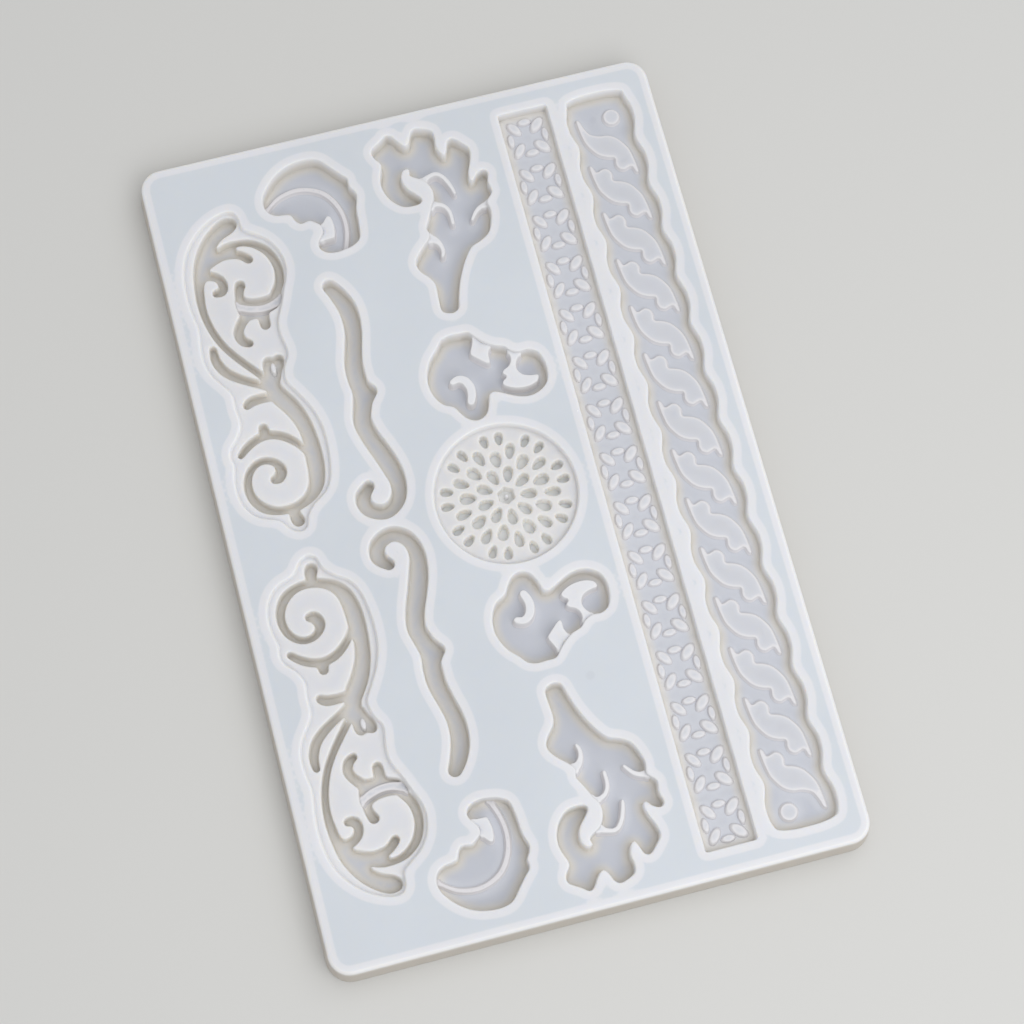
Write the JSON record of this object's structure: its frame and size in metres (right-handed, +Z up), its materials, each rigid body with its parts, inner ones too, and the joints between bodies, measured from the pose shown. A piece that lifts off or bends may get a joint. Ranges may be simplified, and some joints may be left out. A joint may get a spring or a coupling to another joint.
{
  "type": "resin casting mould",
  "caption": "Flat translucent silicone casting mould with mirrored scroll, stem and leaf cavities, a petal medallion, a lattice strip and a rope border.",
  "frame": {"origin": "middle of the underside, on the surface the mould rests on", "axes": "+Z up out of the cavities, +Y along the length, +X across towards the lattice strip and the rope border"},
  "size_m": [0.142, 0.222, 0.009],
  "materials": {
    "silicone_base": "satin translucent silicone",
    "silicone_land": "satin translucent silicone",
    "silicone_relief": "satin translucent silicone"
  },
  "bodies": {
    "root": {"base_sheet": "silicone_base", "land_sheet": "silicone_land", "scroll_tie_upper": "silicone_relief", "scroll_tie_lower": "silicone_relief", "scroll_peg_upper": "silicone_relief", "scroll_peg_lower": "silicone_relief", "crescent_arc_upper": "silicone_relief", "crescent_arc_lower": "silicone_relief", "crescent_step_upper": "silicone_relief", "crescent_step_lower": "silicone_relief", "acanthus_veins_upper": "silicone_relief", "acanthus_veins_lower": "silicone_relief", "sprig_comma_upper": "silicone_relief", "sprig_comma_lower": "silicone_relief", "sprig_steps_upper": "silicone_relief", "sprig_steps_lower": "silicone_relief", "medallion_peg": "silicone_relief", "lattice_ovals": "silicone_relief", "rope_strands": "silicone_relief", "rope_dots": "silicone_relief"}
  },
  "joints": []
}
